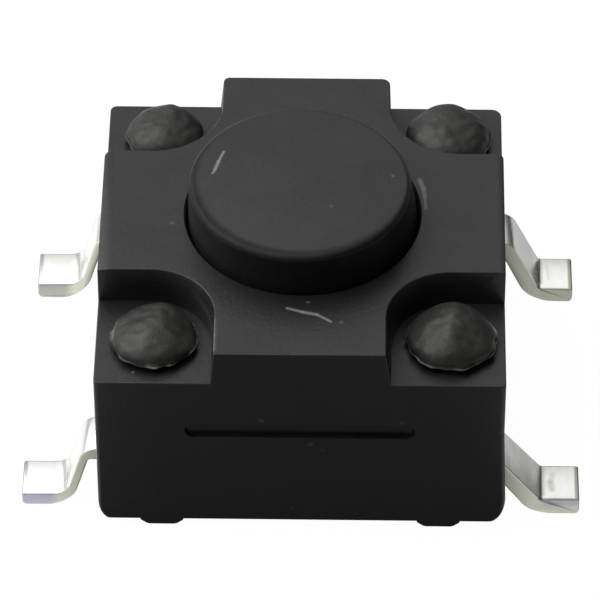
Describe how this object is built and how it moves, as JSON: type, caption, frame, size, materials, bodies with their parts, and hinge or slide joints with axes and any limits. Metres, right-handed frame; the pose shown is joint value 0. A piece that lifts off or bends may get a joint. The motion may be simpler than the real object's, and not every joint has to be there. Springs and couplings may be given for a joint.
{
  "type": "tactile push button switch",
  "caption": "Square surface-mount tactile switch with a round push button, a heat-staked cover and gull-wing leads.",
  "frame": {"origin": "on the board plane that the lead feet rest on, below the axis of the button", "axes": "+Z along the button, out of the board; the leads run along X; the front face with the slot looks along -Y; the wider bevel is on the -X side"},
  "size_m": [0.0084, 0.006, 0.0043],
  "materials": {
    "housing_plastic": "fine matt moulded black nylon",
    "button_plastic": "fine matt moulded black nylon, slightly smoother than the housing",
    "tin_plate": "bright tin plating over stamped brass strip",
    "dome_steel": "thin rolled stainless spring strip",
    "seal_silicone": "translucent grey silicone, satin"
  },
  "bodies": {
    "housing": {"base": "housing_plastic", "cover": "housing_plastic", "seal": "seal_silicone", "dome": "dome_steel", "contact_centre": "tin_plate", "contact_outer": "tin_plate"},
    "button": {"button": "button_plastic"}
  },
  "joints": [
    {"name": "button_press", "type": "slide", "parent": "housing", "child": "button", "axis": [0, 0, -1], "range_m": [0, 0.00025], "stiffness_N_per_m": 6300, "deforming": ["dome", "seal"]}
  ]
}
